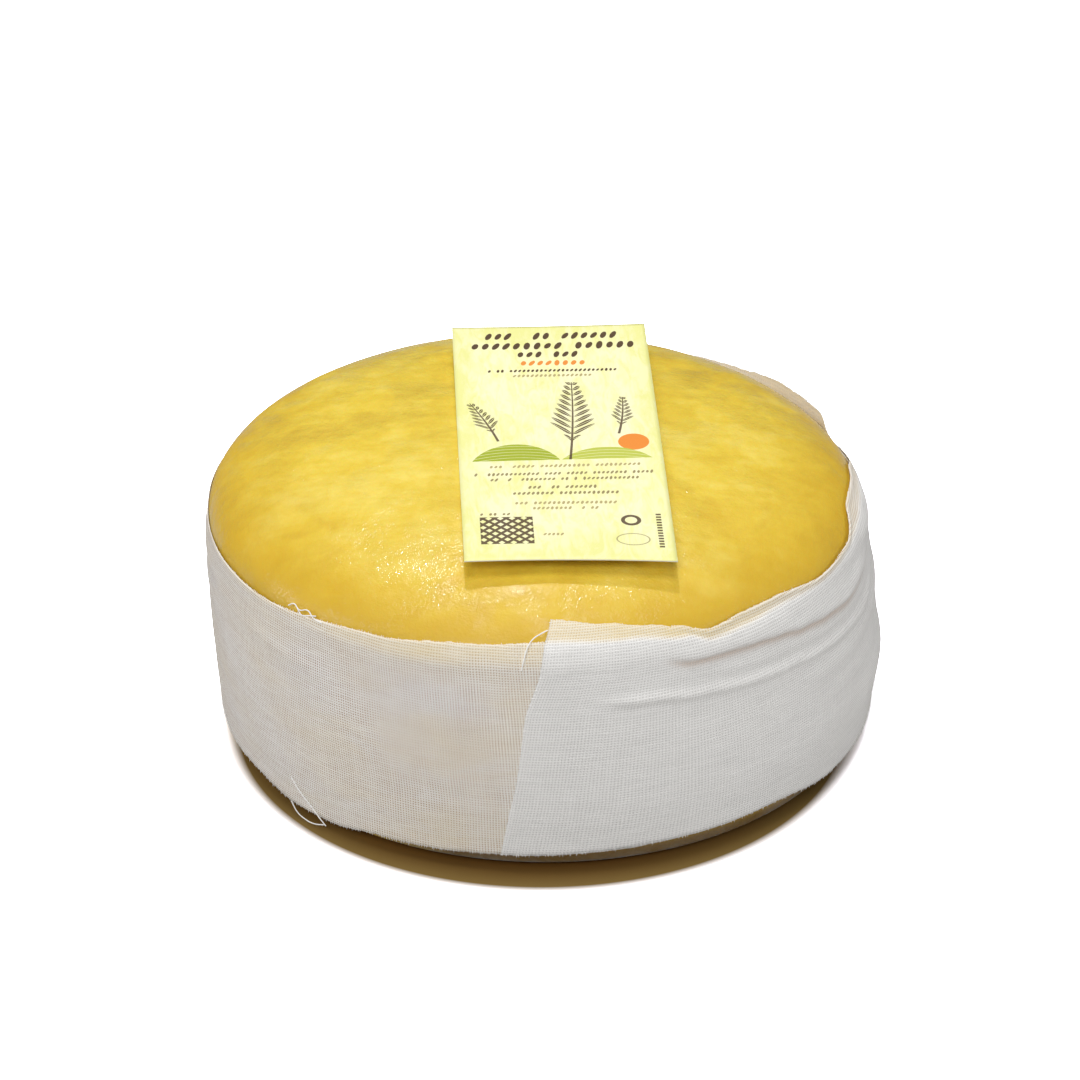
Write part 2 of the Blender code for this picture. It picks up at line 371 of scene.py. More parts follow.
class LabelSettings(PropertyGroup):
    """Sizes and colours of the printed card."""
    width: FloatProperty(name="Width", description="Width of the card", default=0.0445, **LENGTH)
    length: FloatProperty(name="Length", description="Length of the card", default=0.1010, **LENGTH)
    thickness: FloatProperty(
        name="Thickness", description="Thickness of the card", default=0.00030, **LENGTH)
    turn: FloatProperty(
        name="Turn", description="How far the card is turned on the crown", default=math.radians(2.6),
        subtype="ANGLE")
    rest: FloatProperty(
        name="Rest Height", description="Height of the underside at the card's middle", default=0.0676,
        **LENGTH)
    ground: FloatVectorProperty(
        name="Ground", description="Pale colour of the card's ground", default=(0.95, 0.92, 0.57), **COLOUR)
    wash: FloatVectorProperty(
        name="Wash", description="Yellow-green strokes of the ground", default=(0.85, 0.84, 0.30), **COLOUR)
    bark: FloatVectorProperty(
        name="Dark Ink", description="Colour of the dark print", default=(0.070, 0.028, 0.008), **COLOUR)
    straw: FloatVectorProperty(
        name="Light Ink", description="Colour of the lightest rows", default=(0.46, 0.37, 0.16), **COLOUR)
    olive: FloatVectorProperty(
        name="Middle Ink", description="Colour of the small rows", default=(0.30, 0.235, 0.10), **COLOUR)
    amber: FloatVectorProperty(
        name="Orange Ink", description="Colour of the orange print", default=(0.84, 0.27, 0.030), **COLOUR)
    meadow: FloatVectorProperty(
        name="Green Ink", description="Colour of the nearer hill", default=(0.37, 0.44, 0.020), **COLOUR)
    field: FloatVectorProperty(
        name="Light Green Ink", description="Colour of the farther hill", default=(0.52, 0.57, 0.075),
        **COLOUR)


class StudioSettings(PropertyGroup):
    """Lights, floor and camera of the stage."""
    floor_size: FloatProperty(name="Floor", description="Width of the floor", default=8.0, **LENGTH)
    floor_colour: FloatVectorProperty(
        name="Floor Colour", description="Colour of the floor", default=(0.50, 0.495, 0.485), **COLOUR)
    sky: FloatProperty(name="Surround", description="Brightness of the white surround", default=0.10)
    key: FloatProperty(name="Top Light", description="Power of the light above", default=4.2, unit="POWER")
    fill: FloatProperty(
        name="Front Light", description="Power of the light above the camera", default=8.5, unit="POWER")
    left: FloatProperty(
        name="Left Light", description="Power of the light on the left", default=3.9, unit="POWER")
    right: FloatProperty(
        name="Right Light", description="Power of the light on the right", default=5.3, unit="POWER")
    glint: FloatProperty(
        name="Back Light", description="Power of the small light behind", default=4.2, unit="POWER")
    lens: FloatProperty(name="Lens", description="Focal length in millimetres", default=123.33)
    distance: FloatProperty(
        name="Distance", description="From the camera to its aim", default=0.828, **LENGTH)
    elevation: FloatProperty(
        name="Elevation", description="Height of the camera above the horizon",
        default=math.radians(29.0), subtype="ANGLE")
    aim: FloatVectorProperty(
        name="Aim", description="Point that the camera looks at", default=(-0.0013, 0.0, 0.040),
        subtype="TRANSLATION", unit="LENGTH")


class Wire:
    """A node's output. Each operation on it adds one math node."""

    def __init__(self, bench, socket):
        self.bench = bench
        self.socket = socket

    def apply(self, operation, *others, clamp=False):
        return self.bench.add(
            "ShaderNodeMath", enumerate((self, *others)), operation=operation, use_clamp=clamp)

    def span(self, low, high, to_low=0.0, to_high=1.0, curve="LINEAR"):
        """Map from one span to another, held at the ends."""
        return self.bench.add(
            "ShaderNodeMapRange", {0: self, 1: low, 2: high, 3: to_low, 4: to_high},
            interpolation_type=curve)

    def split(self):
        return self.bench.wires("ShaderNodeSeparateXYZ", {0: self})

    def __add__(self, other):
        return self.apply("ADD", other)

    def __sub__(self, other):
        return self.apply("SUBTRACT", other)

    def __mul__(self, other):
        return self.apply("MULTIPLY", other)

    def __truediv__(self, other):
        return self.apply("DIVIDE", other)

    def __pow__(self, other):
        return self.apply("POWER", other)

    def __lt__(self, other):
        return self.apply("LESS_THAN", other)

    def __gt__(self, other):
        return self.apply("GREATER_THAN", other)

    def __abs__(self):
        return self.apply("ABSOLUTE")


class Bench:
    """Adds nodes to one node tree, wired as they are added."""

    def __init__(self, tree):
        self.tree = tree

    def plug(self, node, inputs):
        """Fill a node's inputs. A wire is linked; anything else is the input's value."""
        for key, value in dict(inputs).items():
            if isinstance(value, Wire):
                self.tree.links.new(value.socket, node.inputs[key])
            else:
                node.inputs[key].default_value = value

    def node(self, kind, inputs=(), **settings):
        made = self.tree.nodes.new(kind)
        for key, value in settings.items():
            setattr(made, key, value)
        self.plug(made, inputs)
        return made

    def add(self, kind, inputs=(), output=0, **settings):
        """Add a node. Gives back a wire from one of its outputs."""
        return Wire(self, self.node(kind, inputs, **settings).outputs[output])

    def wires(self, kind, inputs=(), **settings):
        """Add a node. Gives back a wire from each of its outputs."""
        return [Wire(self, socket) for socket in self.node(kind, inputs, **settings).outputs]

    def group(self, name, build, inputs):
        """Use a node group, which is built the first time."""
        tree = bpy.data.node_groups.get(name) or build(name)
        return self.wires("ShaderNodeGroup", inputs, node_tree=tree)

    def place(self):
        return self.add("ShaderNodeTexCoord", output="Object")

    def mix(self, share, low, high):
        """Mix two colours."""
        low, high = (value if isinstance(value, Wire) else (*value, 1.0) for value in (low, high))
        return self.add("ShaderNodeMix", {0: share, 6: low, 7: high}, 2, data_type="RGBA")

    def noise(self, place, scale, detail=2.0, roughness=0.5, distortion=0.0):
        return self.add("ShaderNodeTexNoise", {
            "Vector": place, "Scale": scale, "Detail": detail, "Roughness": roughness,
            "Distortion": distortion})

    def stretch(self, place, scale, turn=0.0):
        """Stretch a place, and turn it about the upright axis."""
        return self.add(
            "ShaderNodeMapping", {"Vector": place, "Rotation": (0.0, 0.0, turn), "Scale": scale})

    def join(self, x, y):
        return self.add("ShaderNodeCombineXYZ", {0: x, 1: y})

    def distance(self, place, point):
        return self.add("ShaderNodeVectorMath", {0: place, 1: point}, "Value", operation="DISTANCE")

    def chance(self, value):
        """A random value from 0 to 1 that stays the same for one input."""
        return self.add("ShaderNodeTexWhiteNoise", {"W": value}, noise_dimensions="1D")

    def bump(self, strength, distance, height):
        return self.add("ShaderNodeBump", {"Strength": strength, "Distance": distance, "Height": height})

    def pick(self, value, width, starts, threes):
        """Step through threes of values from 0 to 1 over a width about 0, each from its own start."""
        ramp = self.node("ShaderNodeValToRGB", {0: value.span(-0.5 * width, 0.5 * width)})
        ramp.color_ramp.interpolation = "CONSTANT"
        elements = ramp.color_ramp.elements
        elements.remove(elements[-1])
        for start, three in zip(starts, threes):
            share = 0.5 + start / width
            element = elements.new(share) if share > 0.0 else elements[0]
            element.position = share
            element.color = (*three, 1.0)
        return Wire(self, ramp.outputs[0])


def new_group(name, inputs, outputs):
    """Start a shader node group. Gives back its bench, then a wire from each of its inputs."""
    tree = bpy.data.node_groups.new(name, "ShaderNodeTree")
    for names, way in ((inputs, "INPUT"), (outputs, "OUTPUT")):
        for socket in names:
            kind = "NodeSocketVector" if socket == "Place" else "NodeSocketFloat"
            tree.interface.new_socket(name=socket, in_out=way, socket_type=kind)
    bench = Bench(tree)
    return bench, *bench.wires("NodeGroupInput")[:len(inputs)]


def finish_group(bench, **outputs):
    """Link a node group's outputs."""
    bench.node("NodeGroupOutput", outputs)
    return bench.tree


def new_material(name):
    """Start a material. Gives back the material and its bench."""
    material = bpy.data.materials.new(name)
    material.use_nodes = True
    return material, Bench(material.node_tree)


def finish_material(material, bench, colour, roughness, normal, others=()):
    """Fill the material's shader: its colour, roughness and normal, then its other inputs by name."""
    bench.plug(material.node_tree.nodes["Principled BSDF"], {
        "Base Color": colour, "Roughness": roughness, "Normal": normal, **dict(others)})
    return material


def shade_of(colour, factor):
    """A lighter or darker shade of a colour."""
    return [min(factor * part, PALEST) for part in colour]


def weave_group(name):
    """Plain weave on a flat place in metres: height of the threads, what is open between them, and slubs."""
    bench, place, pitch, thread_share = new_group(
        name, ("Place", "Pitch", "Thread Share"), ("Height", "Open", "Slub"))
    wander = bench.noise(bench.stretch(place, (180.0, 70.0, 1.0)), 1.0)
    across, up, _ = place.split()
    drift = (wander - 0.5) * 0.00055
    warps = (across + drift) / pitch
    wefts = (up + drift * 0.7) / pitch
    warp, weft = warps.apply("FLOOR"), wefts.apply("FLOOR")
    off_warp = abs(warps.apply("FRACT") - 0.5)
    off_weft = abs(wefts.apply("FRACT") - 0.5)
    fat_weft = bench.noise(bench.join(across * 120.0, weft * 7.3), 1.0, 3.0, 0.6)
    fat_warp = bench.noise(bench.join(warp * 5.7, up * 60.0), 1.0, 2.0, 0.6)
    half = thread_share * 0.5
    gap_warp = (off_warp - half * fat_warp.span(0.3, 0.7, 0.85, 1.18)).span(-0.05, 0.06)
    gap_weft = (off_weft - half * fat_weft.span(0.3, 0.7, 0.72, 1.34)).span(-0.05, 0.06)
    crossing = (warp + weft).apply("PINGPONG", 1.0)
    hump_warp = off_warp.span(0.0, 0.36, 1.0, 0.0, "SMOOTHSTEP") * crossing.span(0.0, 1.0, 0.55, 1.0)
    hump_weft = off_weft.span(0.0, 0.38, 1.0, 0.0, "SMOOTHSTEP") * crossing.span(0.0, 1.0, 1.0, 0.55)
    return finish_group(
        bench, Height=hump_warp.apply("MAXIMUM", hump_weft), Open=gap_warp * gap_weft,
        Slub=fat_warp * 0.35 + fat_weft - 0.675)


def mark_row_group(name):
    """A row of small slanted leaf shapes in runs, as a mask on a place in millimetres."""
    bench, along, up, left, middle, length, height, pitch, seed = new_group(
        name, ("Along", "Up", "Left", "Middle", "Length", "Height", "Pitch", "Seed"), ("Mask",))
    run = along - left
    cells = run / pitch
    cell = cells.apply("FLOOR") + seed
    rise = (up - middle) / height
    slant = bench.chance(cell) * 0.5 + 0.12
    aside = cells.apply("FRACT") - 0.5 - rise * slant
    shown = bench.chance(cell + 0.37) > 0.14
    tall = bench.chance(cell + 0.71) * 0.16 + 0.36
    leaf = (aside / 0.31) ** 2.0 + (rise / tall) ** 2.0 < 1.0
    return finish_group(bench, Mask=leaf * shown * ((run > 0.0) * (run < length)))


def sprig_group(name):
    """A leafy sprig on a place in millimetres: a stem with pairs of slanted leaves that grow shorter."""
    bench, along, up, foot_x, foot_y, lean, length, spread, spacing = new_group(
        name, ("Along", "Up", "Foot X", "Foot Y", "Lean", "Length", "Spread", "Spacing"), ("Mask",))
    x, y = along - foot_x, up - foot_y
    sine, cosine = lean.apply("SINE"), lean.apply("COSINE")
    run = y * cosine - x * sine
    share = run / length
    off = abs(x * cosine + y * sine + share ** 2.0 * 1.6)
    stem = off < share.span(0.0, 1.0, 0.30, 0.12)
    in_cell = abs(((run - off * 0.95) / spacing).apply("FRACT") - 0.5)
    reach = spread * (share.span(0.22, 0.45) * share.span(0.5, 1.0, 1.0, 0.30))
    along_leaf = off / reach.apply("MAXIMUM", 0.01)
    swell = (along_leaf.apply("MINIMUM", 1.0) * math.pi).apply("SINE") * 0.34
    vein = in_cell > 0.035
    leaf = (in_cell < swell) * (along_leaf < 1.0) * vein
    return finish_group(bench, Mask=stem.apply("MAXIMUM", leaf) * ((share > 0.0) * (share < 1.0)))


def rind_material(look):
    """Oiled yellow rind: mottled, finely pitted, deeper round the shoulder in colour and in painted shade,
    and with painted shade at its foot.
    """
    material, bench = new_material("cheese_rind")
    place = bench.place()
    side, _, height = place.split()
    clouds = bench.noise(place, 42.0, 4.0, 0.55, 0.6)
    patches = bench.noise(place, 130.0, 5.0, 0.6, 0.3)
    strokes = bench.noise(bench.stretch(place, (60.0, 330.0, 120.0), 0.7), 1.0, 3.0, 0.6)
    grain = bench.noise(place, 900.0, 3.0, 0.6)
    tone = clouds * 0.45 + patches * 0.35 + strokes * 0.20 + grain * 0.08 - 0.04
    body = bench.mix(tone.span(0.50, 0.62), look.colour, look.pale_colour)
    body = bench.mix(tone.span(0.36, 0.50, 0.55, 0.0), body, look.deep_and_shoulder_shade_colour)
    # Partly painted shade: round the shoulder the rind goes to the deeper colour, for its shade as well as
    # its tint
    edge = (patches * 0.006 + height).span(0.0690, 0.0575, 0.0, 0.85, "SMOOTHSTEP")
    body = bench.mix(edge, body, look.deep_and_shoulder_shade_colour)
    # Painted shade at the foot, where the overhang keeps the light off it; weaker on the left
    foot = height.span(0.0085, 0.0035, curve="SMOOTHSTEP") * side.span(-0.036, -0.020, 0.15, 1.0)
    body = bench.mix(foot * 0.9, body, look.foot_shade_colour)
    dimples = bench.noise(place, 620.0, 3.0)
    relief = dimples * 0.6 + bench.noise(place, 1500.0, 2.0, 0.55) * 0.4
    rough = (patches * 0.4 + dimples * 0.6).span(0.40, 0.62, look.roughness - 0.10, look.roughness + 0.10)
    oiled = bench.noise(place, 75.0, 2.0, 0.5, 0.8).span(0.41, 0.57, 0.06, 0.80)
    return finish_material(material, bench, body, rough, bench.bump(0.60, 0.00028, relief), {
        "IOR": 1.46, "Specular IOR Level": 0.34,
        "Coat Weight": oiled, "Coat Normal": bench.bump(0.85, 0.00040, relief), "Coat Roughness": 0.10,
        "Coat IOR": 1.4,
        "Subsurface Weight": 0.15, "Subsurface Radius": (0.7, 0.38, 0.08), "Subsurface Scale": 0.006})


def gauze_weave(bench, look):
    """The weave on the flat strip: the flat place, then the threads' height, their openings and slubs."""
    flat = bench.add("ShaderNodeUVMap", uv_map="flat_strip")
    return flat, *bench.group("Gauze Weave", weave_group, {
        "Place": flat, "Pitch": look.thread_pitch, "Thread Share": THREAD_SHARE})


def gauze_material(look):
    """White cotton gauze: fine plain weave with slubs, whiter where it lies double, with painted shade
    between its threads and in its crease.
    """
    material, bench = new_material("cotton_gauze")
    flat, height, opening, slub = gauze_weave(bench, look)
    shares, _, _, crease = bench.wires("ShaderNodeAttribute", attribute_name="layers")
    single, glow, lit = bench.wires("ShaderNodeSeparateColor", {0: shares})
    clouds = bench.noise(bench.stretch(flat, (40.0, 90.0, 1.0)), 1.0, 4.0, 0.6, 0.4)
    streaks = bench.noise(bench.stretch(flat, (55.0, 900.0, 1.0)), 1.0, 3.0, 0.6)
    slub = slub * 0.42 + (streaks - 0.5) * 0.55
    cotton = bench.mix(slub.apply("ADD", 0.5, clamp=True), shade_of(look.thread_colour, 0.90),
                       shade_of(look.thread_colour, 1.10))
    cotton = bench.mix(lit, cotton, LIT_COTTON)
    stain = clouds.span(0.42, 0.66)
    warm = glow * stain.span(0.0, 1.0, 0.75, 1.0)
    # Painted shade: what shows between the threads is drawn as it looks in shade beneath the cloth
    under = bench.mix(single, look.shaded_double_hole_colour, look.shaded_hole_colour)
    under = bench.mix(warm, under, look.glow_colour)
    tint = warm * 0.57 + single * stain.span(0.0, 1.0, 0.03, 0.13)
    cotton = bench.mix(tint, cotton, look.glow_colour)
    # Painted shade in the tucked crease
    cotton = bench.mix(crease * 0.60, cotton, CREASE_SHADE_COLOUR)
    rough = height.span(0.0, 1.0, 0.98, 0.86)
    return finish_material(
        material, bench, bench.mix(opening, cotton, under), rough,
        bench.bump(0.65, 0.00012, slub * 0.5 + height),
        {"Specular IOR Level": 0.25, "Sheen Weight": 0.12, "Sheen Roughness": 0.5})


def gauze_back_material(look):
    """The gauze's inner face, which shows where the top edge stands free of the wheel."""
    material, bench = new_material("cotton_gauze_back")
    _, height, opening, _ = gauze_weave(bench, look)
    colour = bench.mix(opening, (0.95, 0.95, 0.95), (0.85, 0.84, 0.84))
    rough = height.span(0.0, 1.0, 0.98, 0.86)
    return finish_material(
        material, bench, colour, rough, bench.bump(0.3, 0.00006, height), {"Specular IOR Level": 0.25})


def thread_material(look):
    """Loose cotton: the band's white, with a little fuzz of lighter and darker fibre."""
    material, bench = new_material("cotton_thread")
    fibre = bench.noise(bench.place(), 4200.0, 3.0, 0.6)
    colour = bench.mix(fibre, shade_of(look.thread_colour, 1.02), shade_of(look.thread_colour, 1.14))
    return finish_material(
        material, bench, colour, fibre.span(0.3, 0.7, 0.85, 0.95), bench.bump(0.5, 0.00005, fibre),
        {"Specular IOR Level": 0.25})


def card_back_material(look):
    """Unprinted card: the underside and the cut edges."""
    material, bench = new_material("plain_card")
    fibre = bench.noise(bench.place(), 1600.0, 4.0, 0.65)
    colour = bench.mix(fibre, (0.72, 0.69, 0.52), (0.86, 0.84, 0.70))
    return finish_material(
        material, bench, colour, fibre.span(0.3, 0.7, 0.62, 0.78), bench.bump(0.25, 0.00004, fibre))


def ellipse_mask(along, up, x, y, wide, high):
    """1 inside an ellipse."""
    return ((along - x) / wide) ** 2.0 + ((up - y) / high) ** 2.0 < 1.0


def print_rows(bench, look, along, up, ground, rows):
    """Print rows of marks that lie one below the other."""
    limits = [0.5 * (upper[0] + lower[0]) for upper, lower in zip(rows, rows[1:])]
    starts = [-0.5 * CARD_SPAN, *reversed(limits)]
    upward = [*reversed(rows)]
    left, middle, length = bench.pick(up, CARD_SPAN, starts, [
        (0.5 + row[1] / ROW_SPAN, 0.5 + row[0] / CARD_SPAN, round(row[2] / row[4]) * row[4] / ROW_SPAN)
        for row in upward]).split()
    height, pitch, seed = bench.pick(up, CARD_SPAN, starts, [
        (row[3] / MARK_SPAN, row[4] / MARK_SPAN, 0.1 + 0.09 * index)
        for index, row in enumerate(upward)]).split()
    ink = bench.pick(up, CARD_SPAN, starts, [getattr(look, row[5]) for row in upward])
    mask, = bench.group("Row Of Marks", mark_row_group, {
        "Along": along, "Up": up, "Left": left * ROW_SPAN - 0.5 * ROW_SPAN,
        "Middle": middle * CARD_SPAN - 0.5 * CARD_SPAN, "Length": length * ROW_SPAN,
        "Height": height * MARK_SPAN, "Pitch": pitch * MARK_SPAN,
        "Seed": (seed * 90.0).apply("FLOOR") * 41.0})
    return bench.mix(mask * 0.97, ground, ink)


def print_pictures(bench, look, along, up, ground):
    """Print the hills, the sun and the leafy sprigs of the card's middle."""
    x, y, radius = SUN
    colour = bench.mix(ellipse_mask(along, up, x, y, radius, radius), ground, look.amber)
    above = up > PRINT_BASELINE
    for x, y, wide, high, ink in HILLS:
        furrow = (up * 5.2 + (along - x) ** 2.0 * 0.10).apply("SINE")
        hill = ellipse_mask(along, up, x, y, wide, high) * above * furrow.span(0.86, 0.90, 1.0, 0.35)
        colour = bench.mix(hill, colour, getattr(look, ink))
    starts = [-0.5 * ROW_SPAN] + [sprig[0] for sprig in SPRIGS[:-1]]
    foot_x, foot_y, lean = bench.pick(along, ROW_SPAN, starts, [
        (0.5 + sprig[1] / ROW_SPAN, 0.5 + sprig[2] / ROW_SPAN, 0.5 + sprig[3] / 90.0)
        for sprig in SPRIGS]).split()
    length, spread, spacing = bench.pick(along, ROW_SPAN, starts, [
        (sprig[4] / ROW_SPAN, sprig[5] / LEAF_SPAN, sprig[6] / LEAF_SPAN) for sprig in SPRIGS]).split()
    mask, = bench.group("Leafy Sprig", sprig_group, {
        "Along": along, "Up": up, "Foot X": foot_x * ROW_SPAN - 0.5 * ROW_SPAN,
        "Foot Y": foot_y * ROW_SPAN - 0.5 * ROW_SPAN, "Lean": lean * (math.pi / 2) - math.pi / 4,
        "Length": length * ROW_SPAN, "Spread": spread * LEAF_SPAN, "Spacing": spacing * LEAF_SPAN})
    return bench.mix(mask * 0.9, colour, look.bark)


def print_foot(bench, look, along, up, ground):
    """Print the lattice square, the ring, the oval and the marks up the side."""
    x, y, wide, high, cell = CHECKED_SQUARE
    across, rise = along - x, up - y
    one_way, other_way = (across + rise).apply("PINGPONG", cell), (across - rise).apply("PINGPONG", cell)
    lattice = one_way.apply("MINIMUM", other_way) < 0.42 * cell
    square = (abs(across) < wide / 2) * (abs(rise) < high / 2) * lattice
    x, y, radius, wall = RING
    ring = abs(bench.distance(bench.join(along, up), (x, y, 0.0)) - (radius - wall / 2)) < wall / 2
    x, y, wide, height, pitch = SIDE_MARKS
    steps = up.apply("PINGPONG", pitch / 2) < 0.30 * pitch
    marks = (abs(along - x) < wide) * (abs(up - y) < height) * steps
    dark = square.apply("MAXIMUM", ring).apply("MAXIMUM", marks)
    colour = bench.mix(dark * 0.92, ground, look.bark)
    x, y, wide, high, wall = PLATE
    within = ellipse_mask(along, up, x, y, wide - wall, high - wall)
    return bench.mix((ellipse_mask(along, up, x, y, wide, high) - within) * 0.75, colour, look.olive)


def card_material(look, zone):
    """Printed card: pale ground with yellow-green brush strokes, under the print of one zone."""
    material, bench = new_material("printed_card_" + zone)
    flat = bench.add("ShaderNodeUVMap", uv_map="card_flat")
    along, up = (metres * 1000.0 for metres in flat.split()[:2])
    strokes = bench.noise(bench.stretch(flat, (420.0, 110.0, 1.0), 0.35), 1.0, 5.0, 0.62, 1.4)
    clouds = bench.noise(bench.stretch(flat, (60.0, 45.0, 1.0)), 1.0, 4.0, 0.6, 1.2)
    fibre = bench.noise(flat, 2600.0, 3.0, 0.6)
    rim = (abs(along) / (look.width * 500.0)).apply("MAXIMUM", abs(up) / (look.length * 500.0))
    brushed = (strokes * 0.55 + clouds * 0.45).span(0.43, 0.62, 0.0, 0.95)
    wash = brushed.apply("ADD", rim.span(0.70, 1.0, 0.0, 0.50), clamp=True)
    ground = bench.mix(wash, look.ground, look.wash)
    ground = bench.mix(fibre.span(0.35, 0.75, 0.0, 0.10), ground, (1.0, 0.98, 0.86))
    if zone == "head":
        colour = print_rows(bench, look, along, up, ground, HEAD_ROWS)
    elif zone == "pictures":
        colour = print_pictures(bench, look, along, up, ground)
    else:
        colour = print_rows(bench, look, along, up, print_foot(bench, look, along, up, ground), FOOT_ROWS)
    return finish_material(
        material, bench, colour, fibre.span(0.3, 0.7, 0.40, 0.55),
        bench.bump(0.15, 0.00003, fibre * 0.5 + strokes), {"Specular IOR Level": 0.4})


def floor_material(look):
    """Plain pale floor, brighter to the camera than to the cheese, with a painted shadow just in front of
    its foot.
    """
    material, bench = new_material("pale_floor")
    place = bench.place()
    colour = bench.mix(bench.noise(place, 12.0), shade_of(look.floor_colour, 0.99), look.floor_colour)
    shader = material.node_tree.nodes["Principled BSDF"]
    bench.plug(shader, {"Base Color": colour, "Roughness": 0.9})
    # Painted shadow: the floor goes to dark brown in front of the foot, by distance from a point under the
    # wheel
    away = bench.distance(place, PAINTED_SHADOW_MIDDLE)
    shade = bench.mix(away.span(*PAINTED_SHADOW_DEEP), *PAINTED_SHADOW_COLOURS)
    tone = bench.mix(away.span(*PAINTED_SHADOW_EDGE), shade, FLOOR_SEEN)
    seen = bench.add("ShaderNodeLightPath", output="Is Camera Ray")
    mixed = bench.add("ShaderNodeMixShader", {
        0: seen, 1: Wire(bench, shader.outputs[0]), 2: bench.add("ShaderNodeBsdfDiffuse", {"Color": tone})})
    bench.plug(material.node_tree.nodes["Material Output"], {"Surface": mixed})
    return material


def knot_handle(radius, height, heading, pull):
    """A point of the section's plane at a pull from a knot along its heading."""
    angle = math.radians(heading)
    return Vector((radius + pull * math.cos(angle), height + pull * math.sin(angle), 0.0))


def wheel_section(look):
    """Half of the wheel's upright section as radii and heights, from the foot's middle to the crown's."""
    places = (
        (look.foot_radius, 0.0), SHOULDER_KNOTS[0], (look.side_radius, WIDEST_HEIGHT), SHOULDER_KNOTS[1],
        (look.crown_radius, CROWN_EDGE_HEIGHT), (0.0, look.height))
    outline = [(share * look.foot_radius, 0.0) for share in FOOT_RINGS]
    for index, points in enumerate(STRETCH_POINTS):
        (r0, z0), (r1, z1) = places[index], places[index + 1]
        h0, h1 = KNOT_HEADINGS[index], KNOT_HEADINGS[index + 1]
        curve = interpolate_bezier(
            knot_handle(r0, z0, h0, 0.0), knot_handle(r0, z0, h0, KNOT_PULLS[index][1]),
            knot_handle(r1, z1, h1, -KNOT_PULLS[index + 1][0]), knot_handle(r1, z1, h1, 0.0), points)
        outline += [(place.x, place.y) for place in curve[:-1]]
    return outline + [(0.0, look.height)]


class SideSurface:
    """The wheel's side as the band feels it."""

    def __init__(self, look):
        section = wheel_section(look)[len(FOOT_RINGS):]
        self.heights = np.array([z for _, z in section])
        self.radii = np.array([r for r, _ in section])
        steps = np.hypot(np.diff(self.radii), np.diff(self.heights))
        self.arcs = np.concatenate(([0.0], np.cumsum(steps)))

    def radius(self, height):
        found = float(np.interp(height, self.heights, self.radii))
        if height >= HANG_HEIGHT:
            return found
        hanging = float(np.interp(HANG_HEIGHT, self.heights, self.radii))
        return max(hanging - HANG_SLOPE * (HANG_HEIGHT - height), found)

    def arc(self, height):
        """Length up the section to a height."""
        return float(np.interp(height, self.heights, self.arcs))

    def place(self, turned, height, lift):
        """The point that stands off the wheel by a lift, at a direction and height."""
        radius = self.radius(height)
        slope = (self.radius(height + SLOPE_STEP) - radius) / SLOPE_STEP
        outward = lift / math.hypot(1.0, slope)
        radius += outward
        return settle((radius * math.cos(turned), radius * math.sin(turned), height - outward * slope))


def link_new(name, data):
    """Put an object with this mesh, curve, light or camera into the scene."""
    made = bpy.data.objects.new(name, data)
    bpy.context.scene.collection.objects.link(made)
    return made


def new_object(name, mesh_data, materials):
    """Turn a bmesh into a smooth shaded object with its materials."""
    mesh = bpy.data.meshes.new(name)
    mesh_data.to_mesh(mesh)
    mesh_data.free()
    for material in materials:
        mesh.materials.append(material)
    mesh.shade_smooth()
    return link_new(name, mesh)


def thicken(piece, thickness, offset, material_offset, **settings):
    """Give a sheet its thickness, with another material on the side that this adds."""
    wall = piece.modifiers.new("Thickness", "SOLIDIFY")
    wall.thickness = thickness
    wall.offset = offset
    wall.material_offset = material_offset
    for key, value in settings.items():
        setattr(wall, key, value)


def lay_flat(mesh_data, name, places):
    """Give a mesh's faces a UV map from flat places by vertex."""
    flat = mesh_data.loops.layers.uv.new(name)
    for face in mesh_data.faces:
        for loop in face.loops:
            loop[flat].uv = places[loop.vert.index]


def rind_relief(place):
    """Low hollows and swells of the rind, from about -1 to 1."""
    return 2.0 * sum(
        strength * noise.noise(place * fineness + Vector(shift))
        for fineness, strength, shift in RELIEF_WAVES)


class CHEESE_OT_rind(Operator):
    """Turn the wheel's section, settle it and give it the low relief of a real rind"""
    bl_idname = "cheese.rind"
    bl_label = "Make Rind"

    def execute(self, context):
        look = context.scene.cheese_look
        wheel = bmesh.new()
        ring = [wheel.verts.new((r, 0.0, z)) for r, z in wheel_section(look)]
        edges = [wheel.edges.new(pair) for pair in zip(ring, ring[1:])]
        bmesh.ops.spin(
            wheel, geom=ring + edges, cent=(0.0, 0.0, 0.0), axis=(0.0, 0.0, 1.0), angle=math.tau,
            steps=look.steps, use_merge=True, use_duplicate=False)
        bmesh.ops.remove_doubles(wheel, verts=wheel.verts, dist=MERGE_DISTANCE)
        bmesh.ops.recalc_face_normals(wheel, faces=wheel.faces)
        wheel.normal_update()
        for vert in wheel.verts:
            bare = smooth_step((vert.co.z - BARE_FROM) / BARE_EASE)
            depth = look.relief * (PRESSED_RELIEF + (1.0 - PRESSED_RELIEF) * bare)
            depth *= smooth_step(vert.co.z / FOOT_EASE)
            vert.co = settle(vert.co + vert.normal * (depth * rind_relief(vert.co)))
        rind = new_object("rind", wheel, [rind_material(look)])
        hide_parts("cheese")
        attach(rind, "root")
        return {"FINISHED"}


def fold_rise(degrees, height, line, rise, below, above):
    """How far a fold lifts the cloth at a place: a ridge along its line that fades at its ends."""
    ends = stretch_share(degrees, line[0][0], line[-1][0], FOLD_FADE, FOLD_FADE)
    if ends <= 0.0:
        return 0.0
    off = height - eased_height(degrees, line)
    width = above if off > 0.0 else below
    return rise * ends * math.exp(-(off / width) ** 2)


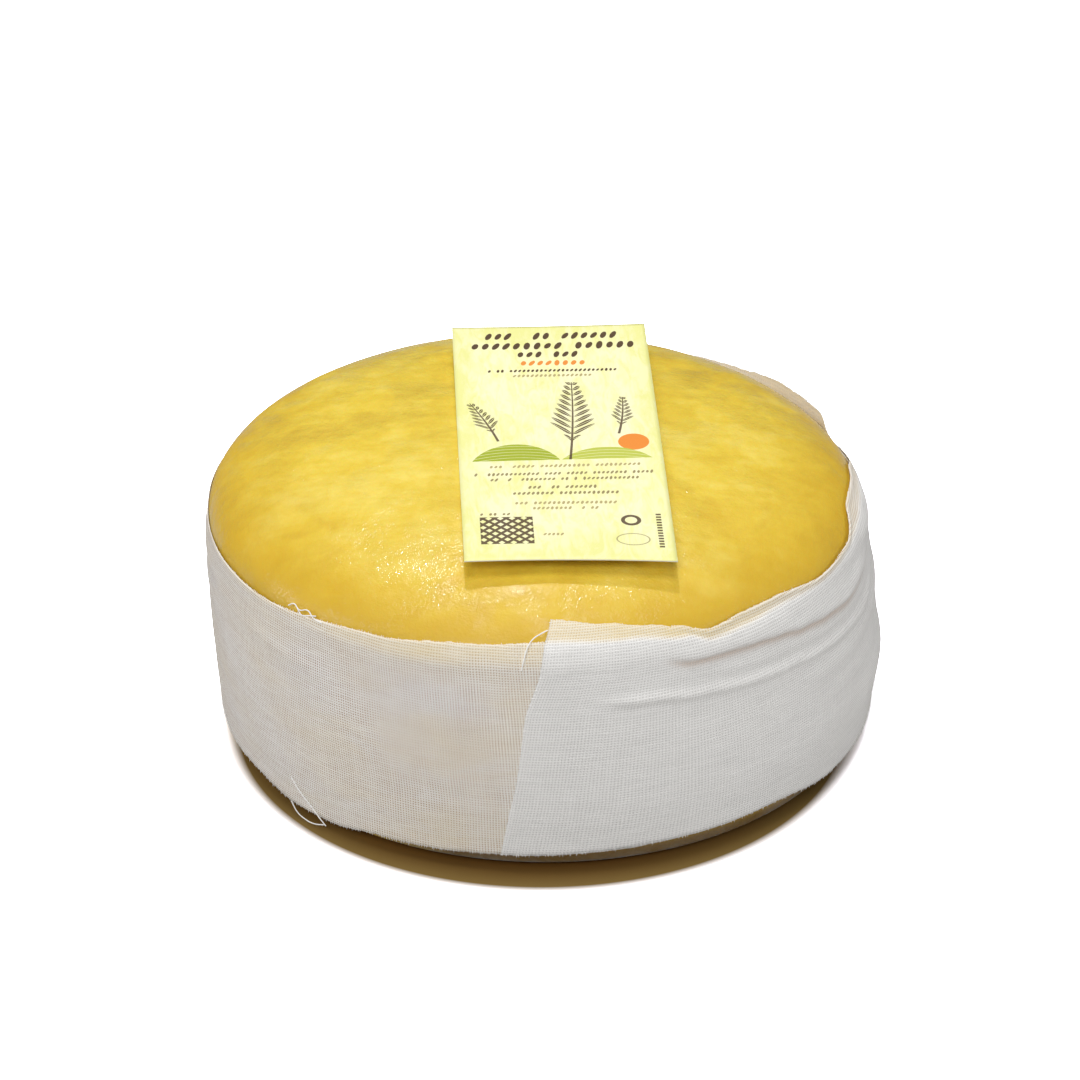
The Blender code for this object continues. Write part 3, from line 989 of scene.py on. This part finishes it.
def tucked_rise(degrees, height):
    """The tucked fold: the cloth above its line bulges out over it."""
    ends = stretch_share(degrees, TUCKED_FOLD[0][0], TUCKED_FOLD[-1][0], FOLD_FADE, 2.0 * FOLD_FADE)
    off = height - eased_height(degrees, TUCKED_FOLD)
    edge = smooth_step((off + TUCK_EDGE[0]) / TUCK_EDGE[1])
    bulge = edge * math.exp(-(max(off - TUCK_BULGE[0], 0.0) / TUCK_BULGE[1]) ** 2)
    return TUCK_RISE * ends * bulge


class BandShape:
    """Where each point of the gauze strip lies: angle round from the free end, and height."""

    def __init__(self, band, look):
        self.band = band
        self.side = SideSurface(look)
        self.overlap = math.degrees(band.overlap)
        self.slant = math.degrees(band.end_slant)
        self.layer = band.thickness + 0.3 * band.clearance

    def turned(self, degrees, height):
        """Direction of a point, with the free end's slant that fades along the strip."""
        fade = 1.0 - smooth_step(degrees / SLANT_FADE)
        share = float(np.interp(height, *zip(*FREE_END)))
        return self.band.start + math.radians(degrees - self.slant * share * fade)

    def standing(self, degrees):
        """1 where the top edge stands free of the shoulder."""
        return stretch_share(degrees, *STANDING_EDGE, *STANDING_EASE)

    def doubled(self, degrees, height):
        """1 where the strip lies on its own inner layer, 0 where it lies on the rind."""
        reach = 1.0 - smooth_step((degrees - self.overlap - self.slant) / LAYER_STEP)
        inner_top = eased_height(degrees + 360.0, TOP_EDGE)
        return reach * smooth_step((inner_top + HALF_STEP - height) / (2.0 * HALF_STEP))

    def rise(self, degrees, height):
        """How far the inner face stands off the rind, folds and ripples included."""
        behind = stretch_share(degrees, *SNUG_STRETCH, SNUG_EASE, SNUG_EASE)
        upper = smooth_step((height - SNUG_FROM + SNUG_DEEPER * behind) / SNUG_SPAN)
        snug = 1.0 - (SNUG_SHARE + SNUG_BEHIND * behind) * upper
        close = smooth_step(degrees / CLOSED_END)
        layer = self.band.thickness + (self.layer - self.band.thickness) * (0.25 + 0.75 * close)
        lift = self.band.clearance * snug + layer * self.doubled(degrees, height)
        if degrees >= 360.0:
            return lift
        swell = max(wave(degrees, height, *SWELL_WAVE) + 0.25, 0.0) * SWELL_RISE
        creep = (wave(degrees, height, *CREEP_WAVE) + 1.0) * CREEP_RISE
        free = smooth_step((height - SWELL_FROM) / 0.006) * smooth_step((SWELL_TO - height) / 0.004)
        lift += (swell + creep) * free * close * smooth_step((360.0 - degrees) / SWELL_FADE)
        lift += tucked_rise(degrees, height) + fold_rise(degrees, height, RIDGE_FOLD, *RIDGE_RISE)
        for fold in SOFT_FOLDS:
            lift += fold_rise(degrees, height, *fold)
        least, more = HEM_RISE
        hem = smooth_step((height - eased_height(degrees, TOP_EDGE) + HEM_DEPTH) / HEM_SPAN)
        lift += (least + more * stretch_share(degrees, *HEM_STRETCH, HEM_EASE, HEM_EASE)) * hem
        above = max(height - STANDING_FROM, 0.0) / STANDING_SPAN
        return lift + STANDING_RISE * self.standing(degrees) * above ** STANDING_POWER

    def point(self, degrees, up):
        """Place of a point of the inner face, and its height above the foot."""
        low, top = eased_height(degrees, LOW_EDGE), eased_height(degrees, TOP_EDGE)
        ragged = noise.noise(Vector((degrees * 1.9, 3.0, 0.0))) * RAGGED
        ragged_low = noise.noise(Vector((degrees * 1.7, 30.0, 0.0))) * RAGGED
        low += ragged_low * (1.0 - up)
        height = low + up * (top + ragged * up - low)
        return self.side.place(self.turned(degrees, height), height, self.rise(degrees, height)), height

    def layers(self, degrees, height, up):
        """Shares for the material: single layer, rind touching, brightly lit thread and the crease's painted
        shade.
        """
        double = self.doubled(degrees, height) if degrees < 360.0 else 0.0
        free = self.standing(degrees) * smooth_step((height - SNUG_FROM) / 0.0030)
        single = (1.0 - double) * (1.0 - 0.9 * free)
        shoulder = smooth_step((height - SHOULDER_FROM) / SNUG_SPAN)
        lean_on = TOUCH_WEIGHT * (0.5 + wave(degrees, height, *TOUCH_WAVE))
        lean_on *= 0.35 + 0.65 * smooth_step((degrees - 285.0) / 60.0)
        near, far = TOUCH_BESIDE_END
        touch = near + (far - near) * smooth_step((degrees - TOUCH_FADE) / TOUCH_FADE)
        if degrees > self.overlap:
            touch = TOUCH_BEYOND
        glow = single * max(touch * shoulder, max(lean_on, 0.0))
        lit = free
        if degrees < self.overlap:
            off = height - eased_height(degrees + 360.0, TOP_EDGE)
            frayed = 0.7 + 0.6 * noise.noise(Vector((degrees * 1.3, 77.0, 0.0)))
            lit = max(lit, frayed * math.exp(-((off + 0.0001) / 0.00045) ** 2))
        lit = max(lit, smooth_step((up - 0.975) / 0.02))
        # Painted shade along the tucked fold's crease, a little below its line
        ends = stretch_share(degrees, TUCKED_FOLD[0][0], TUCKED_FOLD[-1][0], *CREASE_EASE)
        off = height - eased_height(degrees, TUCKED_FOLD)
        crease = ends * math.exp(-((off + CREASE_MIDDLE) / CREASE_WIDTH) ** 2)
        return single, min(glow, 1.0), min(max(lit, 0.0), 1.0), crease


def fringe_end(mesh_data, start, toward, length, width):
    """Add one cut thread end as a slim cone."""
    toward = toward.normalized()
    turn = Vector((0.0, 0.0, 1.0)).rotation_difference(toward).to_matrix().to_4x4()
    middle = start + toward * (length * 0.5)
    bmesh.ops.create_cone(
        mesh_data, cap_ends=True, segments=4, radius1=width * 0.5, radius2=width * 0.22, depth=length,
        matrix=Matrix.Translation(middle) @ turn)


def loose_thread(name, shape, knots, width, material):
    """A smooth round thread through its knots on the band."""
    curve = bpy.data.curves.new(name, "CURVE")
    curve.dimensions = "3D"
    curve.bevel_depth = width * 0.5
    curve.bevel_resolution = 2
    curve.use_fill_caps = True
    curve.resolution_u = 8
    spline = curve.splines.new("BEZIER")
    spline.bezier_points.add(len(knots) - 1)
    for knot, (degrees, height, lift) in zip(spline.bezier_points, knots):
        turned = shape.band.start + math.radians(degrees)
        knot.co = shape.side.place(turned, height, lift)
        knot.handle_left_type = knot.handle_right_type = "AUTO"
    curve.materials.append(material)
    drawn = link_new(name + "_line", curve)
    bpy.context.view_layer.update()
    mesh = bpy.data.meshes.new_from_object(drawn.evaluated_get(bpy.context.evaluated_depsgraph_get()))
    mesh.name = name
    bpy.data.objects.remove(drawn, do_unlink=True)
    bpy.data.curves.remove(curve)
    return link_new(name, mesh)


class CHEESE_OT_band(Operator):
    """Wind the gauze strip round the wheel, with its folds, its frayed edges and its loose threads"""
    bl_idname = "cheese.band"
    bl_label = "Make Gauze Band"

    def execute(self, context):
        band, look = context.scene.cheese_band, context.scene.cheese_look
        shape = BandShape(band, look)
        total = 360.0 + shape.overlap
        strip = bmesh.new()
        bmesh.ops.create_grid(strip, x_segments=band.steps, y_segments=band.rows, size=0.5)
        layers = strip.verts.layers.float_color.new("layers")
        spread = {}
        for vert in strip.verts:
            degrees, up = (vert.co.x + 0.5) * total, 1.0 - (0.5 - vert.co.y) ** ROW_CROWDING
            vert.co, height = shape.point(degrees, up)
            vert[layers] = shape.layers(degrees, height, up)
            spread[vert.index] = (math.radians(degrees) * look.side_radius, shape.side.arc(height))
        lay_flat(strip, "flat_strip", spread)
        rim = [vert.index for vert in strip.verts if vert.is_boundary]
        body = [vert.index for vert in strip.verts if not vert.is_boundary]
        gauze = new_object("gauze_band", strip, [gauze_material(band), gauze_back_material(band)])
        full = gauze.vertex_groups.new(name="full_thickness")
        full.add(body, 1.0, "REPLACE")
        full.add(rim, RIM_THICKNESS, "REPLACE")
        thicken(gauze, band.thickness, 1.0, 1, vertex_group=full.name)
        cotton = thread_material(band)
        trim = [self.fringe(shape, cotton)]
        for name, knots in LOOSE_THREADS.items():
            trim.append(loose_thread(name, shape, knots, band.thread_width, cotton))
        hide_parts("cloth_band")
        for piece in [gauze, *trim]:
            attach(piece, "root")
        return {"FINISHED"}

    def fringe(self, shape, cotton):
        """The cut ends of the threads along the strip's top, low and free edges."""
        band = shape.band
        chance = random.Random(17)
        ends = bmesh.new()
        middle = band.thickness * 0.5
        pitch = math.degrees(band.thread_pitch / BAND_RADIUS)
        degrees = 1.0
        while degrees < 360.0 + 2.0:
            for edge, sign in ((TOP_EDGE, 1.0), (LOW_EDGE, -1.0)):
                if chance.random() < MISSING_ENDS:
                    continue
                height = eased_height(degrees, edge)
                wander = chance.uniform(-0.25, 0.25)
                turned = shape.turned(degrees + pitch * wander, height)
                rise = shape.rise(degrees, height) + middle
                start = shape.side.place(turned, height - sign * FRINGE_ROOT, rise)
                tip = shape.side.place(turned + chance.uniform(-0.003, 0.003), height + sign * FRINGE_REACH,
                                       rise + chance.uniform(-0.0001, 0.0004))
                fringe_end(ends, start, tip - start, 0.0003 + chance.uniform(0.0001, 0.0004),
                           band.thread_width * chance.uniform(0.55, 0.8))
            degrees += pitch
        height = eased_height(0.0, LOW_EDGE)
        while height < eased_height(0.0, TOP_EDGE):
            turned = shape.turned(0.0, height)
            rise = shape.rise(0.0, height) + middle
            start = shape.side.place(turned + 0.005, height, rise + 0.00008)
            tip = shape.side.place(turned - 0.012, height + chance.uniform(-0.0004, 0.0004),
                                   rise - chance.uniform(0.0, 0.0001))
            fringe_end(ends, start, tip - start, 0.0004 + chance.uniform(0.0001, 0.0004),
                       band.thread_width * chance.uniform(0.55, 0.8))
            height += band.thread_pitch * chance.uniform(1.5, 5.0)
        return new_object("frayed_ends", ends, [cotton])


class CHEESE_OT_label(Operator):
    """Lay the printed card on the crown, a little curled and drooping at its free corner"""
    bl_idname = "cheese.label"
    bl_label = "Make Card Label"

    def execute(self, context):
        look = context.scene.cheese_label
        card = bmesh.new()
        bmesh.ops.create_grid(card, x_segments=LABEL_CELLS[0], y_segments=LABEL_CELLS[1], size=0.5)
        spread = {}
        for vert in card.verts:
            across, along = vert.co.x, vert.co.y
            spread[vert.index] = (across * look.width, along * look.length)
            vert.co = self.place(look, across, along)
        lay_flat(card, "card_flat", spread)
        for face in card.faces:
            up = 1000.0 * sum(spread[vert.index][1] for vert in face.verts) / len(face.verts)
            face.material_index = sum(up < limit for limit in ZONE_LIMITS)
        printed = [card_material(look, zone) for zone in ("head", "pictures", "foot")]
        label = new_object("card_label", card, [*printed, card_back_material(look)])
        thicken(label, look.thickness, -1.0, len(printed), material_offset_rim=len(printed))
        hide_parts("label")
        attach(label, "root")
        return {"FINISHED"}

    def place(self, look, across, along):
        """Place of a point of the card's printed face: across and along it, both from -0.5 to 0.5."""
        side, run = across * look.width, along * look.length
        x = LABEL_CENTRE[0] + side * math.cos(look.turn) - run * math.sin(look.turn)
        y = LABEL_CENTRE[1] + side * math.sin(look.turn) + run * math.cos(look.turn)
        rest = look.rest + look.thickness + LABEL_SLOPE * y
        curl = LABEL_CURL * (2.0 * along) ** 2
        droop = LABEL_DROOP * max(across + 0.5, 0.0) ** 2 * max(-2.0 * along, 0.0) ** 2
        warp = LABEL_WARP * math.sin(9.0 * along + 2.0 * across) + LABEL_TWIST * (2.0 * across) ** 2 * along
        return Vector((x, y, rest + curl - droop + warp))


def area_light(name, place, size, power):
    """A white light at a place, turned to the wheel."""
    data = bpy.data.lights.new(name, "AREA")
    data.shape = "RECTANGLE"
    data.size, data.size_y = size
    data.energy = power
    light = link_new(name, data)
    light.location = place
    light.rotation_euler = (LIGHT_AIM - light.location).to_track_quat("-Z", "Y").to_euler()


class CHEESE_OT_stage(Operator):
    """Set out the pale floor, the soft lights, the white surround and the camera"""
    bl_idname = "cheese.stage"
    bl_label = "Make Stage"

    def execute(self, context):
        scene = context.scene
        look = scene.cheese_studio
        ground = bmesh.new()
        bmesh.ops.create_grid(ground, x_segments=1, y_segments=1, size=look.floor_size * 0.5)
        floor = new_object("floor", ground, [floor_material(look)])
        for name, (place, size, power) in LIGHTS.items():
            area_light(name, place, size, getattr(look, power))
        world = bpy.data.worlds.new("white_surround")
        world.use_nodes = True
        surround = world.node_tree.nodes["Background"]
        surround.inputs["Color"].default_value = (1.0, 1.0, 1.0, 1.0)
        surround.inputs["Strength"].default_value = look.sky
        scene.world = world
        scene.view_settings.view_transform = "Standard"
        lens = bpy.data.cameras.new("camera")
        lens.lens = look.lens
        lens.sensor_width = 36.0
        lens.clip_start = 0.01
        camera = link_new("camera", lens)
        away = Vector((0.0, -math.cos(look.elevation), math.sin(look.elevation)))
        camera.location = Vector(look.aim) + look.distance * away
        camera.rotation_euler = (math.pi / 2 - look.elevation, 0.0, 0.0)
        scene.camera = camera
        return {"FINISHED"}


class CHEESE_PT_panel(Panel):
    """Sidebar panel with the cheese's settings and the steps that make it"""
    bl_idname = "CHEESE_PT_panel"
    bl_label = "Banded Cheese Wheel"
    bl_space_type = "VIEW_3D"
    bl_region_type = "UI"
    bl_category = "Cheese"

    def draw(self, context):
        scene = context.scene
        for settings, operator in (
                (scene.cheese_look, "cheese.rind"), (scene.cheese_band, "cheese.band"),
                (scene.cheese_label, "cheese.label"), (scene.cheese_studio, "cheese.stage")):
            box = self.layout.box()
            for name in settings.__annotations__:
                box.prop(settings, name)
            box.operator(operator)


CLASSES = (
    CheeseSettings, BandSettings, LabelSettings, StudioSettings, CHEESE_OT_rind, CHEESE_OT_band,
    CHEESE_OT_label, CHEESE_OT_stage, CHEESE_PT_panel)
SETTINGS = {
    "cheese_look": CheeseSettings, "cheese_band": BandSettings, "cheese_label": LabelSettings,
    "cheese_studio": StudioSettings}


def register():
    for made in CLASSES:
        bpy.utils.register_class(made)
    for name, settings in SETTINGS.items():
        setattr(bpy.types.Scene, name, PointerProperty(type=settings))


def unregister():
    for name in SETTINGS:
        delattr(bpy.types.Scene, name)
    for made in reversed(CLASSES):
        bpy.utils.unregister_class(made)


def main():
    register()
    bpy.ops.cheese.rind()
    bpy.ops.cheese.band()
    bpy.ops.cheese.label()
    bpy.ops.cheese.stage()


if __name__ == "__main__":
    main()
